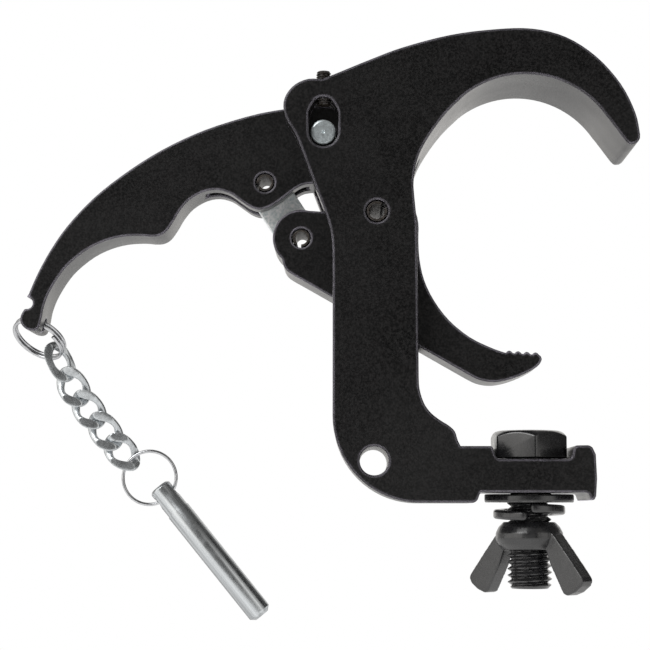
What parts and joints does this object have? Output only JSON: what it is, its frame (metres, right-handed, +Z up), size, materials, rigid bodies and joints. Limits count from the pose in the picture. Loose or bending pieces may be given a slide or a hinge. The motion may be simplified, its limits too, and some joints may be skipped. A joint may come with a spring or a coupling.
{
  "type": "toggle pipe clamp",
  "caption": "Hook clamp for a lighting tube, with a toggle lever that closes its lower jaw, a hanging locking pin, and a bolt with a wing nut for a lamp",
  "frame": {"origin": "the clamped tube's axis, half way through the frame's width", "axes": "+Z up, the tube runs along Y, +X points out of the hook's mouth"},
  "size_m": [0.1706, 0.03, 0.1586],
  "materials": {
    "black_anodised": "satin black anodised aluminium with fine tooling marks",
    "black_anodised_handle": "satin black anodised aluminium with brushed faces",
    "black_anodised_jaw": "satin black anodised aluminium",
    "black_oxide": "black oxide steel",
    "black_paint": "glossy black zinc",
    "black_paint_bolt": "glossy black zinc, threaded",
    "black_paint_nut": "glossy black zinc casting",
    "zinc_plate": "bright zinc plate",
    "zinc_plate_link": "zinc plate, speckled",
    "bright_wire": "bright nickel wire",
    "bright_chain": "bright diamond-cut curb chain",
    "bright_steel": "bright drawn steel"
  },
  "bodies": {
    "frame": {"body_frame": "black_anodised", "lever_pivot_pin": "zinc_plate", "jaw_pivot_roll_pin": "black_oxide", "hex_bolt": "black_paint_bolt"},
    "lever": {"lever_handle": "black_anodised_handle", "handle_link_roll_pin": "black_oxide"},
    "link": {"toggle_link": "zinc_plate_link"},
    "jaw": {"clamp_jaw": "black_anodised_jaw", "jaw_link_roll_pin": "black_oxide"},
    "front_adjuster": {"adjuster_grub_screw_front": "black_oxide"},
    "rear_adjuster": {"adjuster_grub_screw_rear": "black_oxide"},
    "washers": {"flat_washer": "black_paint", "spring_washer": "black_paint"},
    "wing_nut": {"wing_nut": "black_paint_nut"},
    "handle_ring": {"handle_split_ring": "bright_wire"},
    "pin_ring": {"pin_split_ring": "bright_wire"},
    "locking_pin": {"locking_pin": "bright_steel"},
    "chain_1": {"chain_link_1": "bright_chain"},
    "chain_2": {"chain_link_2": "bright_chain"},
    "chain_3": {"chain_link_3": "bright_chain"},
    "chain_4": {"chain_link_4": "bright_chain"},
    "chain_5": {"chain_link_5": "bright_chain"}
  },
  "joints": [
    {"name": "lever_swing", "type": "hinge", "parent": "frame", "child": "lever", "pos_m": [-0.054, 0, 0.0108], "axis": [0, -1, 0], "range_deg": [-2, 45]},
    {"name": "link_swing", "type": "hinge", "parent": "lever", "child": "link", "pos_m": [-0.0698, 0, -0.00195], "axis": [0, -1, 0], "range_deg": [-70, 5]},
    {"name": "jaw_swing", "type": "hinge", "parent": "frame", "child": "jaw", "pos_m": [-0.03965, 0, -0.01095], "axis": [0, -1, 0], "range_deg": [-2, 35]},
    {"name": "front_adjuster_travel", "type": "slide", "parent": "frame", "child": "front_adjuster", "axis": [0, 0, 1], "range_m": [-0.0025, 0.004]},
    {"name": "rear_adjuster_travel", "type": "slide", "parent": "frame", "child": "rear_adjuster", "axis": [0, 0, 1], "range_m": [-0.0025, 0.004]},
    {"name": "washer_travel", "type": "slide", "parent": "frame", "child": "washers", "axis": [0, 0, 1], "range_m": [-0.0071, 0]},
    {"name": "wing_nut_spin", "type": "hinge", "parent": "washers", "child": "wing_nut", "pos_m": [0.00135, 0, -0.0931], "axis": [0, 0, 1], "range_deg": [0, 1440]},
    {"name": "handle_ring_swing", "type": "hinge", "parent": "lever", "child": "handle_ring", "pos_m": [-0.13265, 0.0001, -0.03915], "axis": [0, -1, 0], "range_deg": [-11.5, 1]},
    {"name": "chain_1_swing", "type": "hinge", "parent": "handle_ring", "child": "chain_1", "pos_m": [-0.12853, 0.0092, -0.04668], "axis": [0, -1, 0], "range_deg": [-11.5, 1]},
    {"name": "chain_2_swing", "type": "hinge", "parent": "chain_1", "child": "chain_2", "pos_m": [-0.12525, 0.0092, -0.05285], "axis": [0, -1, 0], "range_deg": [-11.5, 1]},
    {"name": "chain_3_swing", "type": "hinge", "parent": "chain_2", "child": "chain_3", "pos_m": [-0.12128, 0.0092, -0.05932], "axis": [0, -1, 0], "range_deg": [-11.5, 1]},
    {"name": "chain_4_swing", "type": "hinge", "parent": "chain_3", "child": "chain_4", "pos_m": [-0.11676, 0.0092, -0.06543], "axis": [0, 1, 0], "range_deg": [-12, 12]},
    {"name": "chain_5_swing", "type": "hinge", "parent": "chain_4", "child": "chain_5", "pos_m": [-0.11201, 0.0092, -0.07136], "axis": [0, 1, 0], "range_deg": [-12, 12]},
    {"name": "pin_ring_swing", "type": "hinge", "parent": "chain_5", "child": "pin_ring", "pos_m": [-0.10711, 0.0092, -0.0773], "axis": [0, 1, 0], "range_deg": [-10, 10]},
    {"name": "locking_pin_swing", "type": "hinge", "parent": "pin_ring", "child": "locking_pin", "pos_m": [-0.09715, 0.0092, -0.08633], "axis": [0, 1, 0], "range_deg": [-8, 2.5]}
  ],
  "couplings": [
    {"joint": "jaw_swing", "follows": "lever_swing", "ratio": 0.76},
    {"joint": "link_swing", "follows": "lever_swing", "ratio": -1.5},
    {"joint": "handle_ring_swing", "follows": "lever_swing", "ratio": -0.25},
    {"joint": "chain_1_swing", "follows": "lever_swing", "ratio": -0.25},
    {"joint": "chain_2_swing", "follows": "lever_swing", "ratio": -0.25},
    {"joint": "chain_3_swing", "follows": "lever_swing", "ratio": -0.25},
    {"joint": "washer_travel", "follows": "wing_nut_spin", "m_per_rad": -0.00027852}
  ]
}
